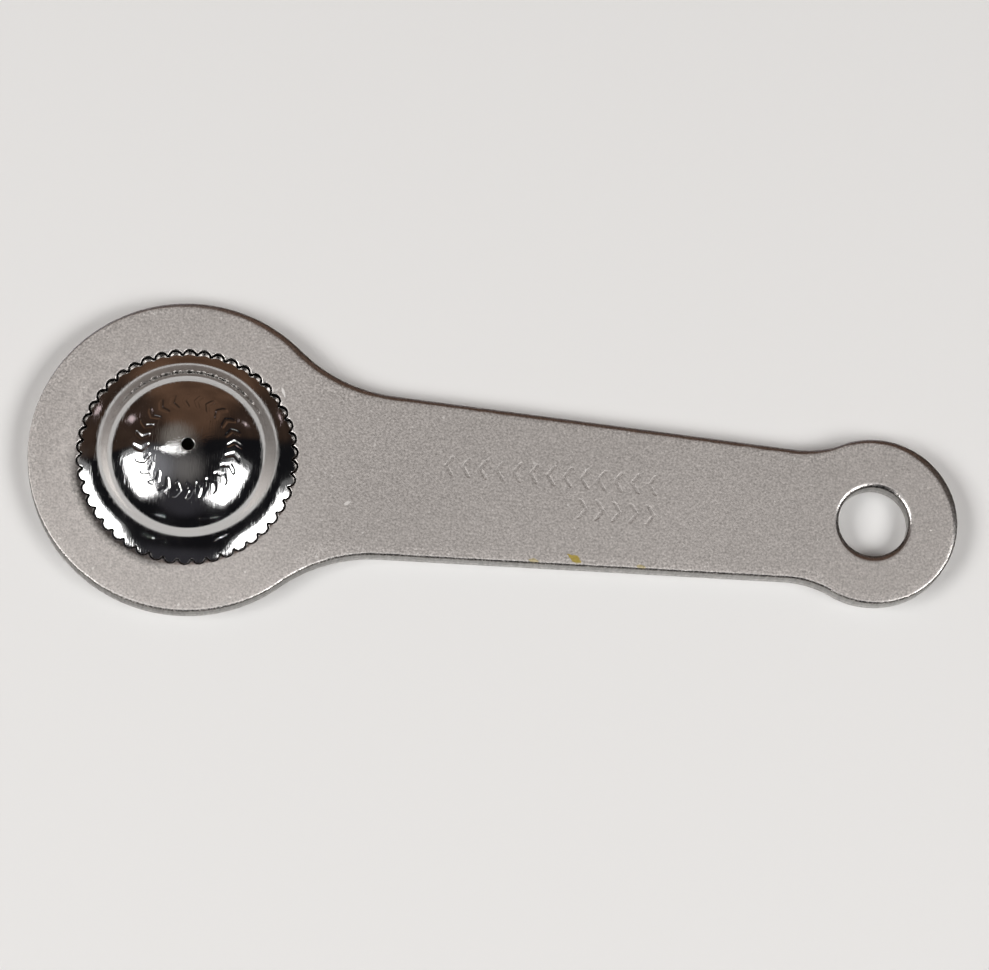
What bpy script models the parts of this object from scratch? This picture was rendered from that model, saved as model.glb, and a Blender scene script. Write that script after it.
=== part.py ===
"""Flat stamped wrench for the dust cap of a bicycle pedal, with a cap lying in its toothed hole.

Frame: metres, +Z up. The wrench lies flat with its underside at z = 0. +X runs along it from the
toothed head to the tail, y = 0 is its centre line, and x = 0 is half way along its length.
"""

import math

import bmesh
import bpy
from mathutils import Vector

MM = 0.001

# Outline of the wrench
HEAD_RADIUS = 17.7 * MM
TAIL_RADIUS = 9.45 * MM
CENTRE_DISTANCE = 77.0 * MM
WIDTH_AT_HEAD = 20.1 * MM
WIDTH_AT_TAIL = 14.1 * MM
HEAD_BLEND_RADIUS = 17.4 * MM
TAIL_BLEND_RADIUS = 11.3 * MM

# Section of the wrench: the punched face has rolled edges, the other face has broken ones
PLATE_THICKNESS = 2.6 * MM
EDGE_ROLL = 0.3 * MM
EDGE_BREAK = 0.12 * MM
HANG_HOLE_RADIUS = 3.92 * MM

# Toothed hole
TOOTH_COUNT = 46
ROOT_RADIUS = 12.4 * MM
TOOTH_DEPTH = 0.58 * MM
LIP_WIDTH = 0.35 * MM
LIP_SLOPE = math.radians(35)

# Dust cap: its scalloped rim lies in the teeth with this much play all round
RIM_PLAY = 0.25 * MM
RIM_SINK = 0.5 * MM
RIM_THICKNESS = 1.1 * MM
RIM_SLOPE = math.radians(20)
COVE_WIDTH = 1.97 * MM
DOME_HEIGHT = 5.2 * MM
DOME_EDGE_SLOPE = math.radians(58)
SHELL_WALL = 0.7 * MM
SKIRT_LEDGE = 0.57 * MM
SKIRT_WALL = 1.2 * MM
SKIRT_CHAMFER = 0.25 * MM
VENT_RADIUS = 0.7 * MM

# Facets
HEAD_STEPS = 60
TAIL_STEPS = 34
BLEND_STEPS = 9
TOOTH_STEPS = 7
VALLEY_STEPS = 3
ROUND_STEPS = 48
DOME_STEPS = 7
COVE_STEPS = 5
LIP_STEPS = 3
ROLL_STEPS = 3
BREAK_STEPS = 1
SHARP_ANGLE = math.radians(35)

# How far cutters reach past what they cut, and what still counts as one place or one plane
CUT_MARGIN = 1.0 * MM
WELD_DISTANCE = 0.0001 * MM
SAME_HEIGHT = 0.001 * MM
FLAT_ANGLE = math.radians(0.2)

# Sizes that follow
OVERALL_LENGTH = HEAD_RADIUS + CENTRE_DISTANCE + TAIL_RADIUS
HEAD_X = HEAD_RADIUS - OVERALL_LENGTH / 2
TAIL_X = HEAD_X + CENTRE_DISTANCE
TIP_RADIUS = ROOT_RADIUS - TOOTH_DEPTH
VALLEY_RADIUS = TIP_RADIUS - RIM_PLAY
LOBE_RADIUS = ROOT_RADIUS - RIM_PLAY
RIM_TOP = PLATE_THICKNESS - RIM_SINK
RIM_UNDERSIDE = RIM_TOP - RIM_THICKNESS
SKIRT_RADIUS = VALLEY_RADIUS - SKIRT_LEDGE
BORE_RADIUS = SKIRT_RADIUS - SKIRT_WALL
DOME_RADIUS = VALLEY_RADIUS - COVE_WIDTH


def clear_scene():
    for obj in list(bpy.data.objects):
        bpy.data.objects.remove(obj, do_unlink=True)


def new_collection(name, hidden=False):
    collection = bpy.data.collections.new(name)
    collection.hide_render = hidden
    bpy.context.scene.collection.children.link(collection)
    return collection


def metal(name, colour, roughness):
    material = bpy.data.materials.new(name)
    material.use_nodes = True
    shader = material.node_tree.nodes["Principled BSDF"]
    shader.inputs["Base Color"].default_value = (*colour, 1.0)
    shader.inputs["Metallic"].default_value = 1.0
    shader.inputs["Roughness"].default_value = roughness
    return material


def arc(centre, radius, start, end, steps):
    """Points along an arc, from one angle to the other, with both ends."""
    turns = [start + (end - start) * i / steps for i in range(steps + 1)]
    return [centre + radius * Vector((math.cos(turn), math.sin(turn))) for turn in turns]


def angle_of(vector):
    return math.atan2(vector.y, vector.x)


def blend_centre(end_centre, end_radius, blend_radius, half_width, taper, towards):
    """Centre of the hollow arc that joins a round end to the upper straight edge."""
    across = Vector((math.sin(taper), math.cos(taper)))
    along = towards * Vector((math.cos(taper), -math.sin(taper)))
    rise = half_width * math.cos(taper) + blend_radius
    run = math.sqrt((end_radius + blend_radius) ** 2 - rise**2)
    return end_centre + rise * across + run * along


def wrench_outline():
    """Round head, two tapering straight edges and a round tail, joined by hollow arcs."""
    head = Vector((HEAD_X, 0.0))
    tail = Vector((TAIL_X, 0.0))
    taper = math.atan((WIDTH_AT_HEAD - WIDTH_AT_TAIL) / 2 / CENTRE_DISTANCE)
    edge_turn = -math.pi / 2 - taper
    head_blend = blend_centre(head, HEAD_RADIUS, HEAD_BLEND_RADIUS, WIDTH_AT_HEAD / 2, taper, 1)
    tail_blend = blend_centre(tail, TAIL_RADIUS, TAIL_BLEND_RADIUS, WIDTH_AT_TAIL / 2, taper, -1)
    head_turn = angle_of(head_blend - head)
    tail_turn = angle_of(tail_blend - tail)
    upper = arc(tail, TAIL_RADIUS, 0.0, tail_turn, TAIL_STEPS // 2)
    upper += arc(tail_blend, TAIL_BLEND_RADIUS, tail_turn - math.pi, edge_turn, BLEND_STEPS)[1:]
    upper += arc(head_blend, HEAD_BLEND_RADIUS, edge_turn, head_turn - math.pi, BLEND_STEPS)
    upper += arc(head, HEAD_RADIUS, head_turn, math.pi, HEAD_STEPS // 2)[1:]
    lower = [Vector((point.x, -point.y)) for point in reversed(upper[1:-1])]
    return upper + lower


def toothed_outline(inset):
    """Round roots that meet in teeth, or what lies that far inside them.

    A root is an arc through its own bottom and the tips of the teeth beside it. Inside it the same
    arc is smaller, and round each tip it is joined by an arc of the inset."""
    centre = Vector((HEAD_X, 0.0))
    half_pitch = math.pi / TOOTH_COUNT
    tip = TIP_RADIUS * Vector((math.cos(half_pitch), math.sin(half_pitch)))
    drop = ROOT_RADIUS - tip.x
    root_arc_radius = (drop**2 + tip.y**2) / (2 * drop)
    root = Vector((ROOT_RADIUS - root_arc_radius, 0.0))
    swing = angle_of(tip - root)
    one = arc(root, root_arc_radius - inset, -swing, swing, TOOTH_STEPS)
    if inset > 0:
        end = 2 * math.pi + 2 * half_pitch - (swing + math.pi)
        one += arc(tip, inset, swing + math.pi, end, VALLEY_STEPS)[1:-1]
    else:
        one = one[:-1]
    outline = []
    for tooth in range(TOOTH_COUNT):
        turn = 2 * half_pitch * tooth
        cos, sin = math.cos(turn), math.sin(turn)
        outline += [centre + Vector((cos * p.x - sin * p.y, sin * p.x + cos * p.y)) for p in one]
    return outline


def solid_from_outline(name, outline, low, high, collection):
    """A flat outline filled and extruded between two heights, as a mesh with whole flat faces."""
    curve = bpy.data.curves.new(name, "CURVE")
    curve.dimensions = "2D"
    curve.fill_mode = "BOTH"
    curve.extrude = (high - low) / 2
    spline = curve.splines.new("POLY")
    spline.points.add(len(outline) - 1)
    for point, place in zip(spline.points, outline):
        point.co = (place.x, place.y, 0.0, 1.0)
    spline.use_cyclic_u = True
    guide = bpy.data.objects.new(name, curve)
    guide.location.z = (high + low) / 2
    bpy.context.scene.collection.objects.link(guide)
    graph = bpy.context.evaluated_depsgraph_get()
    mesh = bpy.data.meshes.new_from_object(guide.evaluated_get(graph))
    place = guide.matrix_world.copy()
    bpy.data.objects.remove(guide)
    shape = bmesh.new()
    shape.from_mesh(mesh)
    bmesh.ops.remove_doubles(shape, verts=shape.verts, dist=WELD_DISTANCE)
    bmesh.ops.dissolve_limit(shape, angle_limit=FLAT_ANGLE, verts=shape.verts, edges=shape.edges)
    bmesh.ops.recalc_face_normals(shape, faces=shape.faces)
    shape.to_mesh(mesh)
    shape.free()
    obj = bpy.data.objects.new(name, mesh)
    obj.matrix_world = place
    collection.objects.link(obj)
    return obj


def turned(name, profile, steps, collection):
    """A profile of (radius, height) points turned about the head's or the tail's own axis."""
    mesh = bpy.data.meshes.new(name)
    joints = [(i, i + 1) for i in range(len(profile) - 1)]
    mesh.from_pydata([(radius, 0.0, height) for radius, height in profile], joints, [])
    obj = bpy.data.objects.new(name, mesh)
    collection.objects.link(obj)
    screw = obj.modifiers.new("Turn", "SCREW")
    screw.steps = steps
    screw.render_steps = steps
    screw.use_merge_vertices = True
    screw.merge_threshold = SAME_HEIGHT
    return obj


def hide_cutter(obj):
    obj.hide_render = True
    obj.display_type = "WIRE"


def boolean(obj, operation, other):
    cut = obj.modifiers.new(other.name, "BOOLEAN")
    cut.operation = operation
    cut.object = other


def round_edges(obj, height, width, steps):
    """Rounds the outline's edge at one of the flat faces."""
    shape = bmesh.new()
    shape.from_mesh(obj.data)
    edges = [
        edge
        for edge in shape.edges
        if all(abs(vertex.co.z - height) < SAME_HEIGHT for vertex in edge.verts)
    ]
    bmesh.ops.bevel(
        shape, geom=edges, offset=width, segments=steps, profile=0.5, affect="EDGES"
    )
    shape.to_mesh(obj.data)
    shape.free()


def lip_cutter(collection):
    """What the punch drew down round the toothed hole: a round lip, steepest at the teeth."""
    reach = LIP_WIDTH + TOOTH_DEPTH
    lip_radius = reach / math.sin(LIP_SLOPE)
    outer = ROOT_RADIUS + LIP_WIDTH
    above = PLATE_THICKNESS + CUT_MARGIN
    profile = [(0.0, above), (outer, above)]
    for step in range(LIP_STEPS + 1):
        slope = LIP_SLOPE * step / LIP_STEPS
        drop = lip_radius * (1 - math.cos(slope))
        profile.append((outer - lip_radius * math.sin(slope), PLATE_THICKNESS - drop))
    profile.append((0.0, profile[-1][1]))
    cutter = turned("toothed_hole_lip", profile, 2 * TOOTH_COUNT, collection)
    cutter.location.x = HEAD_X
    hide_cutter(cutter)
    return cutter


def hang_hole_cutter(collection):
    above = PLATE_THICKNESS + CUT_MARGIN
    profile = [(0.0, above), (HANG_HOLE_RADIUS + EDGE_ROLL, above)]
    for step in range(ROLL_STEPS + 1):
        turn = math.pi / 2 * step / ROLL_STEPS
        radius = HANG_HOLE_RADIUS + EDGE_ROLL * (1 - math.sin(turn))
        profile.append((radius, PLATE_THICKNESS - EDGE_ROLL * (1 - math.cos(turn))))
    profile += [
        (HANG_HOLE_RADIUS, EDGE_BREAK),
        (HANG_HOLE_RADIUS + EDGE_BREAK, 0.0),
        (HANG_HOLE_RADIUS + EDGE_BREAK, -CUT_MARGIN),
        (0.0, -CUT_MARGIN),
    ]
    cutter = turned("hang_hole", profile, ROUND_STEPS, collection)
    cutter.location.x = TAIL_X
    hide_cutter(cutter)
    return cutter


def make_wrench(parts, cutters):
    plate = solid_from_outline("wrench", wrench_outline(), 0.0, PLATE_THICKNESS, parts)
    half_thickness = PLATE_THICKNESS / 2
    round_edges(plate, half_thickness, EDGE_ROLL, ROLL_STEPS)
    round_edges(plate, -half_thickness, EDGE_BREAK, BREAK_STEPS)
    above = PLATE_THICKNESS + CUT_MARGIN
    teeth = solid_from_outline("toothed_hole", toothed_outline(0.0), -CUT_MARGIN, above, cutters)
    hide_cutter(teeth)
    for cutter in (teeth, lip_cutter(cutters), hang_hole_cutter(cutters)):
        boolean(plate, "DIFFERENCE", cutter)
    plate.data.shade_smooth()
    plate.data.set_sharp_from_angle(angle=SHARP_ANGLE)
    plate.data.materials.append(metal("satin_steel", (0.45, 0.43, 0.41), 0.42))
    return plate


def cap_surface():
    """The cap's upper side from the vent to the rim, as (radius, height, slope) points.

    The dome is part of an ellipse. Where it has become steep, a hollow arc takes over and
    flattens out to the rim."""
    dome_turn = math.atan(math.tan(DOME_EDGE_SLOPE) * DOME_RADIUS / DOME_HEIGHT)
    vent_turn = math.asin(VENT_RADIUS / DOME_RADIUS)
    edge_radius = DOME_RADIUS * math.sin(dome_turn)
    outer = LOBE_RADIUS + CUT_MARGIN
    cove_radius = (LOBE_RADIUS - edge_radius) / (math.sin(DOME_EDGE_SLOPE) - math.sin(RIM_SLOPE))
    edge_height = RIM_TOP + cove_radius * (math.cos(RIM_SLOPE) - math.cos(DOME_EDGE_SLOPE))
    dome_foot = edge_height - DOME_HEIGHT * math.cos(dome_turn)
    points = []
    for step in range(DOME_STEPS + 1):
        turn = vent_turn + (dome_turn - vent_turn) * step / DOME_STEPS
        slope = math.atan(math.tan(turn) * DOME_HEIGHT / DOME_RADIUS)
        radius = DOME_RADIUS * math.sin(turn)
        points.append((radius, dome_foot + DOME_HEIGHT * math.cos(turn), slope))
    for step in range(1, COVE_STEPS + 1):
        slope = DOME_EDGE_SLOPE + (RIM_SLOPE - DOME_EDGE_SLOPE) * step / COVE_STEPS
        radius = edge_radius + cove_radius * (math.sin(DOME_EDGE_SLOPE) - math.sin(slope))
        height = edge_height - cove_radius * (math.cos(slope) - math.cos(DOME_EDGE_SLOPE))
        points.append((radius, height, slope))
    points.append((outer, RIM_TOP - CUT_MARGIN * math.tan(RIM_SLOPE), RIM_SLOPE))
    return points


def at_radius(points, radius):
    """Height of a line of (radius, height) points where it crosses a radius."""
    for (r0, z0), (r1, z1) in zip(points, points[1:]):
        if r0 <= radius <= r1:
            return z0 + (z1 - z0) * (radius - r0) / (r1 - r0)
    return points[0][1]


def cap_profile():
    """Closed section of the cap: down the outside, in under the skirt and up the inside."""
    surface = cap_surface()
    outside = [(radius, height) for radius, height, _ in surface]
    lining = [
        (radius - SHELL_WALL * math.sin(slope), height - SHELL_WALL * math.cos(slope))
        for radius, height, slope in surface
    ]
    inside = [(VENT_RADIUS, at_radius(lining, VENT_RADIUS))]
    inside += [point for point in lining if VENT_RADIUS < point[0] < BORE_RADIUS]
    inside.append((BORE_RADIUS, at_radius(lining, BORE_RADIUS)))
    skirt = [
        (outside[-1][0], RIM_UNDERSIDE),
        (SKIRT_RADIUS, RIM_UNDERSIDE),
        (SKIRT_RADIUS, SKIRT_CHAMFER),
        (SKIRT_RADIUS - SKIRT_CHAMFER, 0.0),
        (BORE_RADIUS, 0.0),
    ]
    return outside + skirt + inside[::-1] + outside[:1]


def make_dust_cap(parts, cutters):
    cap = turned("dust_cap", cap_profile(), 2 * TOOTH_COUNT, parts)
    cap.location.x = HEAD_X
    above = RIM_TOP + DOME_HEIGHT + 2 * CUT_MARGIN
    rim = solid_from_outline("cap_rim", toothed_outline(RIM_PLAY), -CUT_MARGIN, above, cutters)
    hide_cutter(rim)
    boolean(cap, "INTERSECT", rim)
    cap.data.shade_smooth()
    cap.data.set_sharp_from_angle(angle=SHARP_ANGLE)
    cap.data.materials.append(metal("chrome", (0.62, 0.62, 0.63), 0.06))
    return cap


def main():
    clear_scene()
    parts = new_collection("pedal_dust_cap_wrench")
    cutters = new_collection("cutters", hidden=True)
    make_wrench(parts, cutters)
    make_dust_cap(parts, cutters)


main()
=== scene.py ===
"""Looks for the flat stamped wrench and the chromed dust cap that lies in its toothed hole.

Both are rebuilt as fine meshes: the wrench as rings along its outline and its two holes, with flat
faces between them, and the cap as one turned section whose rim swells into lobes. Metres, +Z up, in
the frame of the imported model.
"""

from math import asin, atan, atan2, ceil, cos, hypot, pi, radians, sin, sqrt, tan
from types import SimpleNamespace

import bmesh
import bpy
import numpy as np
from mathutils import Euler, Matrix, Quaternion, Vector, geometry, noise


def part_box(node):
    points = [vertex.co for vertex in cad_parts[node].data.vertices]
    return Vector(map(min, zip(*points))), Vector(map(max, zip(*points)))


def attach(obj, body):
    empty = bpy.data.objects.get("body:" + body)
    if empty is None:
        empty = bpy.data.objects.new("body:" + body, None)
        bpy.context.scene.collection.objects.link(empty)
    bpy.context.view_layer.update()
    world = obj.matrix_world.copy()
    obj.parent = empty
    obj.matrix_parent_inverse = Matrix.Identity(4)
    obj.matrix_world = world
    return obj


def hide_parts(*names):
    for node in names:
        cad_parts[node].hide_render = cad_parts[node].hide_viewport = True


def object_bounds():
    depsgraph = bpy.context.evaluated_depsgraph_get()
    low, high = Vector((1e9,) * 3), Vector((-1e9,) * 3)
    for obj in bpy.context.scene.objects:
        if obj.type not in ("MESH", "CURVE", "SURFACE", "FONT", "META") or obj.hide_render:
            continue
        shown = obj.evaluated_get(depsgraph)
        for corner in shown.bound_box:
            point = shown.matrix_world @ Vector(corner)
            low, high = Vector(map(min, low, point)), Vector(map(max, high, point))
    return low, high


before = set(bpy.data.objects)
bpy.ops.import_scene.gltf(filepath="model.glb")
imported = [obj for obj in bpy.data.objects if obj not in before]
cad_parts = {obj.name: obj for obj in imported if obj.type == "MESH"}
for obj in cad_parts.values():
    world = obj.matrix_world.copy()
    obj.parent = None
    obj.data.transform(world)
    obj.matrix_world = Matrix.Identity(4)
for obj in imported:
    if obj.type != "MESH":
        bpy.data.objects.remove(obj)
cad_low, cad_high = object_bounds()

MM = 0.001

# Outline of the wrench, as in the model
HEAD_RADIUS = 17.7 * MM
TAIL_RADIUS = 9.45 * MM
WIDTH_AT_HEAD = 20.1 * MM
WIDTH_AT_TAIL = 14.1 * MM
HEAD_BLEND_RADIUS = 17.4 * MM
TAIL_BLEND_RADIUS = 11.3 * MM
HANG_HOLE_RADIUS = 3.92 * MM

# Toothed hole, as in the model
TOOTH_COUNT = 46
ROOT_RADIUS = 12.4 * MM
TOOTH_DEPTH = 0.58 * MM

# Dust cap, as in the model
RIM_PLAY = 0.25 * MM
RIM_SINK = 0.5 * MM
RIM_THICKNESS = 1.1 * MM
RIM_SLOPE = radians(20)
COVE_WIDTH = 1.97 * MM
DOME_HEIGHT = 5.2 * MM
DOME_EDGE_SLOPE = radians(58)
SHELL_WALL = 0.7 * MM
SKIRT_LEDGE = 0.57 * MM
SKIRT_WALL = 1.2 * MM
VENT_RADIUS = 0.7 * MM

# Places that follow from the frame
plate_low, plate_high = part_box("wrench")
PLATE_TOP = plate_high.z
HEAD = Vector((plate_low.x + HEAD_RADIUS, 0.0))
TAIL = Vector((plate_high.x - TAIL_RADIUS, 0.0))
HALF_PITCH = pi / TOOTH_COUNT
TIP_RADIUS = ROOT_RADIUS - TOOTH_DEPTH
VALLEY_RADIUS = TIP_RADIUS - RIM_PLAY
LOBE_RADIUS = ROOT_RADIUS - RIM_PLAY
RIM_TOP = PLATE_TOP - RIM_SINK
RIM_UNDERSIDE = RIM_TOP - RIM_THICKNESS
SKIRT_RADIUS = VALLEY_RADIUS - SKIRT_LEDGE
BORE_RADIUS = SKIRT_RADIUS - SKIRT_WALL
DOME_RADIUS = VALLEY_RADIUS - COVE_WIDTH

# How finely the meshes are made
OUTLINE_SPACING = 0.24 * MM
STAGE_ROWS = 4
BREAK_ROWS = 3
ROOT_STEPS = 12
TIP_STEPS = 4
LONGEST_LOOP = 24
LIP_ROWS = 12
HANG_HOLE_STEPS = 160
SAME_VERTEX = 0.002 * MM
SAME_PLACE = 1e-9
KEEP_INSIDE_ONLY = 1

# Drawn edges, from the flat face to the wall: each stage's width, and its slope at the end in degrees
OUTER_ROLL = ((0.22 * MM, 8), (0.3 * MM, 48), (0.05 * MM, 90))
HANG_HOLE_ROLL = ((0.15 * MM, 10), (0.42 * MM, 54), (0.05 * MM, 90))
TOOTHED_HOLE_LIP = ((0.25 * MM, 7), (TOOTH_DEPTH, 26))
ROLL_WANDER = 0.2
ROLL_WANDER_SCALE = 1.6 * MM
ROLL_WIDER_NORTH = 0.3
ROLL_WIDER_NORTH_EAST = 1.4
ROLL_NARROWER_WEST = 0.75
HANG_ROLL_WIDER_SOUTH = 0.6
NORTH_EAST = Vector((0.8, 0.6))
LIP_WIDEST_TURN = radians(222)
LIP_WIDENING = 2.0

# Walls of the plate. The rows are heights, each with its share of the step back at the fracture
BURNISH_ROW_DROP = 0.35 * MM
FRACTURE_TOP = 1.0 * MM
FRACTURE_STEP = 0.03 * MM
FRACTURE_RAGGED = 0.025 * MM
RAGGED_SCALE = 0.5 * MM
SHEAR_ROWS = (
    (FRACTURE_TOP + 0.12 * MM, 0.0),
    (FRACTURE_TOP - 0.1 * MM, 0.7),
    (0.62 * MM, 1.0),
    (0.34 * MM, 1.0),
)
EDGE_BREAK = 0.12 * MM
TOOTH_TIP_ROUND = 0.06 * MM
TOOTH_EDGE = 0.05 * MM
TOOTH_EDGE_ROWS = ((0.3, 0.3), (0.0, 1.0))

# Stamped marks: two rows of chevrons on the handle, pointing opposite ways, and a ring on the dome.
# Each row has its height across the handle, its first mark and the way in which it points
FLOOR_STEPS = 2
WALL_STEPS = 5
BEND_STEPS = 10
END_STEPS = 6
MARK = SimpleNamespace(
    pitch=1.9 * MM,
    half_height=1.15 * MM,
    point=0.75 * MM,
    half_width=0.17 * MM,
    shoulder=0.2 * MM,
    depth=0.04 * MM,
    outer_steps=6,
)
MARK_COUNT = 13
MARK_FIRST = -5.2 * MM
MARK_DEPTH_SHARES = (0.85, 0.35)
MARK_DEPTH_SCALE = 2.6 * MM
MARK_MARGIN = 0.6 * MM
MARK_ROWS = ((-1.75 * MM, 8, 1), (1.75 * MM, 0, -1))
RING_MARK_COUNT = 24
RING_MARK_RADIUS = 5.15 * MM
RING_MARK_FADE = 1.2 * MM
RING_MARK = SimpleNamespace(
    pitch=2 * pi * RING_MARK_RADIUS / RING_MARK_COUNT,
    half_height=0.85 * MM,
    point=0.5 * MM,
    half_width=0.2 * MM,
    shoulder=0.22 * MM,
    depth=0.042 * MM,
    outer_steps=4,
)

# Fine form of the cap, whose rim lies closer in the teeth than the model's
RIM_GAP = 0.15 * MM
LOBE_STEPS = 8
VALLEY_STEPS = 4
DOME_ROWS = 10
COVE_ROWS = 30
LEAST_SLOPE_SINE = 0.8 * sin(RIM_SLOPE)
CAP_BLEND_START = 10.4 * MM
CAP_BLEND_ROWS = 16
RIM_EDGE = 0.14 * MM
RIM_EDGE_ROWS = 3
RIM_LOWER_EDGE_ROWS = ((0.0, 1.0), (0.3, 0.3), (1.0, 0.0))
VENT_EDGE = 0.06 * MM
VENT_SUPPORT = 0.05 * MM
VENT_ROWS = 5

# Skirt, thread and lining of the cap. The foot runs from the skirt round its end into the bore
SKIRT_FILLET = 0.08 * MM
THREAD_PITCH = 1.0 * MM
THREAD_DEPTH = 0.42 * MM
THREAD_SHARPNESS = 1.5
THREAD_LEAD = 0.22 * MM
THREAD_ROWS = 22
SKIRT_FOOT = (
    (SKIRT_RADIUS - 0.12 * MM, 0.07 * MM),
    (SKIRT_RADIUS - 0.3 * MM, 0.0),
    (BORE_RADIUS + 0.12 * MM, 0.0),
    (BORE_RADIUS + 0.03 * MM, 0.04 * MM),
    (BORE_RADIUS, 0.12 * MM),
)
LINING_ROWS = 26
LINING_CORNER = (0.1 * MM, 0.2 * MM)
LINING_STOPS_FROM_VENT = 0.2 * MM

# Marks of use on the plate: place, length and width in millimetres, turn in degrees, taper, strength
# and colour
OLIVE = (0.52, 0.40, 0.07)
PALE_OLIVE = (0.55, 0.44, 0.12)
SCRAPED = (0.97, 0.95, 0.92)
STAINS = (
    ((9.4, -7.45), 2.1, 0.85, -28, 0.9, 0.9, OLIVE),
    ((5.0, -8.2), 1.3, 0.6, -6, 0.0, 0.55, PALE_OLIVE),
    ((17.0, -7.75), 1.2, 0.6, -6, 0.0, 0.55, PALE_OLIVE),
    ((-24.4, 8.4), 1.4, 0.34, -66, 0.0, 1.0, SCRAPED),
    ((-16.2, -3.65), 1.0, 0.45, 28, 0.3, 0.7, SCRAPED),
)

# Looks of the steel: noise scales in cells per metre, colours, and a box round the stamped marks
NOISE_SWING = (0.3, 0.7)
CLOUD_SCALE = 70.0
BLOTCH_SCALE = 1300.0
MOTTLE_SCALE = 3900.0
PEBBLE_SCALE = 4400.0
GLINT_SCALE = 4300.0
SCUFF_SCALE = 900.0
STAIN_SCALE = 2600.0
# Ragged edge of the painted shade by the toothed hole
GAP_SHADE_SCALE = 3000.0
RAGGED_LINE_SCALE = 3600.0
TORN_SCALE = 1700.0
STREAK_SCALES = (3100.0, 3100.0, 420.0)
STEEL_TONES = ((0.325, 0.304, 0.287), (0.755, 0.715, 0.684))
# Painted glints: near-white spots in the steel's colour
STEEL_GLINT = (0.95, 0.93, 0.9)
# Painted shade on the lower left of the toothed hole, darker towards the gap
TEETH_GAP_SHADE = (0.085, 0.078, 0.074)
# Painted shade on the rolled edges that face north
NORTH_EDGE_SHADE = (0.34, 0.34, 0.40)
# The burnished tones are dark partly as painted shade on the upper walls
BURNISHED_AND_SHADED_TONES = ((0.30, 0.285, 0.27), (0.13, 0.12, 0.11))
FRACTURED_TONES = ((0.50, 0.48, 0.46), (0.27, 0.255, 0.24))
TORN = (0.10, 0.09, 0.08)
MARKS_MIDDLE = 7 * MM
MARKS_REACH = (15 * MM, 4.2 * MM)
HOLE_EDGE_REACH = 1.6 * MM

# Looks of the chrome: noise scales in cells per metre, turns of the wiping scratches, and colours
DIRT_SCALE = 1900.0
DIRT_PATCH_SCALE = 500.0
CHROME_SMEAR_SCALE = 420.0
WAVE_SCALE = 260.0
SPOKE_SCALE = 16.0
WIPED_SCALES = (14000.0, 420.0, 420.0)
WIPED_TURNS = (0.5, 1.9, 2.7)
CHROME = (0.60, 0.595, 0.59)
CHROME_DIRT = (0.16, 0.13, 0.1)

# Camera and light, matched to the photograph. Each lamp has its direction from the head, its sizes in
# metres, its roll in degrees, its brightness and its colour
CAMERA_PLACE = Vector((HEAD.x + 6.9 * MM, -154.1 * MM, 608.7 * MM))
CAMERA_TURN = Euler((0.24429, -0.06557, 0.08076))
FRAME_WIDTH_PIXELS = 989
FOCAL_LENGTH_PIXELS = 5615
SENSOR_WIDTH_MM = 36
LAMP_DISTANCE = 0.9
WHITE = (1.0, 1.0, 1.0)
PINK = (1.0, 0.82, 0.85)
LAMPS = (
    ("left_softbox", (-0.683, -0.249, 0.686), (0.59, 0.40), 0.0, 8.2, WHITE),
    ("left_halo", (-0.683, -0.249, 0.686), (0.78, 0.56), 0.0, 0.3, WHITE),
    ("right_softbox", (0.66, -0.28, 0.70), (0.60, 0.38), 0.0, 7.2, WHITE),
    ("right_halo", (0.66, -0.25, 0.70), (0.82, 0.56), 0.0, 0.2, WHITE),
    ("overhead_strip", (-0.22, 0.165, 0.961), (0.24, 0.028), -49.0, 7.5, WHITE),
    ("low_lamp_left", (-0.335, -0.874, 0.350), (0.010, 0.010), 0.0, 75.0, WHITE),
    ("low_lamp_right", (0.515, -0.801, 0.305), (0.010, 0.010), 0.0, 75.0, WHITE),
    ("far_lamp_left", (-0.743, 0.547, 0.384), (0.07, 0.17), 0.0, 0.9, PINK),
    ("far_lamp_right", (0.674, 0.619, 0.403), (0.04, 0.05), 0.0, 1.6, PINK),
)

# Room that the chrome shows: brown to the north, nearly dark elsewhere, with soft glows overhead.
# Each glow has its direction, how far from it the glow begins and stops fading, and its colour
ROOM_DARK = (0.009, 0.009, 0.0105)
ROOM_BROWN = (0.135, 0.076, 0.048)
ROOM_DIM_BROWN = (0.052, 0.033, 0.024)
BROWN_FROM_NORTH = (0.27, 0.35)
BROWN_EDGE_LEAN = -0.18
BROWN_DIMS_ASIDE = (0.4, 0.8)
GLOWS = (
    ((0.0, -0.62, 0.78), (0.15, 0.5), (0.042, 0.041, 0.048)),
    ((0.0, -0.08, 0.997), (0.06, 0.32), (0.19, 0.18, 0.175)),
    ((-0.42, -0.09, 0.90), (0.10, 0.38), (0.27, 0.27, 0.29)),
    ((-0.16, 0.33, 0.93), (0.08, 0.27), (0.26, 0.235, 0.21)),
)
BROWN_BLOTCHES = (0.7, 1.15)
BLOTCHES_SCALE = 3.0
HORIZON = (0.0, 0.05)
PALE = (0.78, 0.77, 0.755)
FLOOR_DROP = 0.02 * MM
FLOOR_HALF_SIZE = 8.0
FLOOR_FADES_FROM = (0.15, 0.4)


# Helpers for outlines and rings


def turn_to(angle):
    return Vector((cos(angle), sin(angle)))


def angle_of(vector):
    return atan2(vector.y, vector.x)


def arc_run(centre, radius, start, end, steps, side):
    """Points on an arc with the normal that leaves it outwards (side 1) or inwards (side -1)."""
    turns = [turn_to(start + (end - start) * i / steps) for i in range(steps + 1)]
    return [(centre + radius * turn, side * turn) for turn in turns]


def steps_along(length):
    """How many steps a run of the wrench's outline gets."""
    return max(2, ceil(length / OUTLINE_SPACING))


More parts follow.
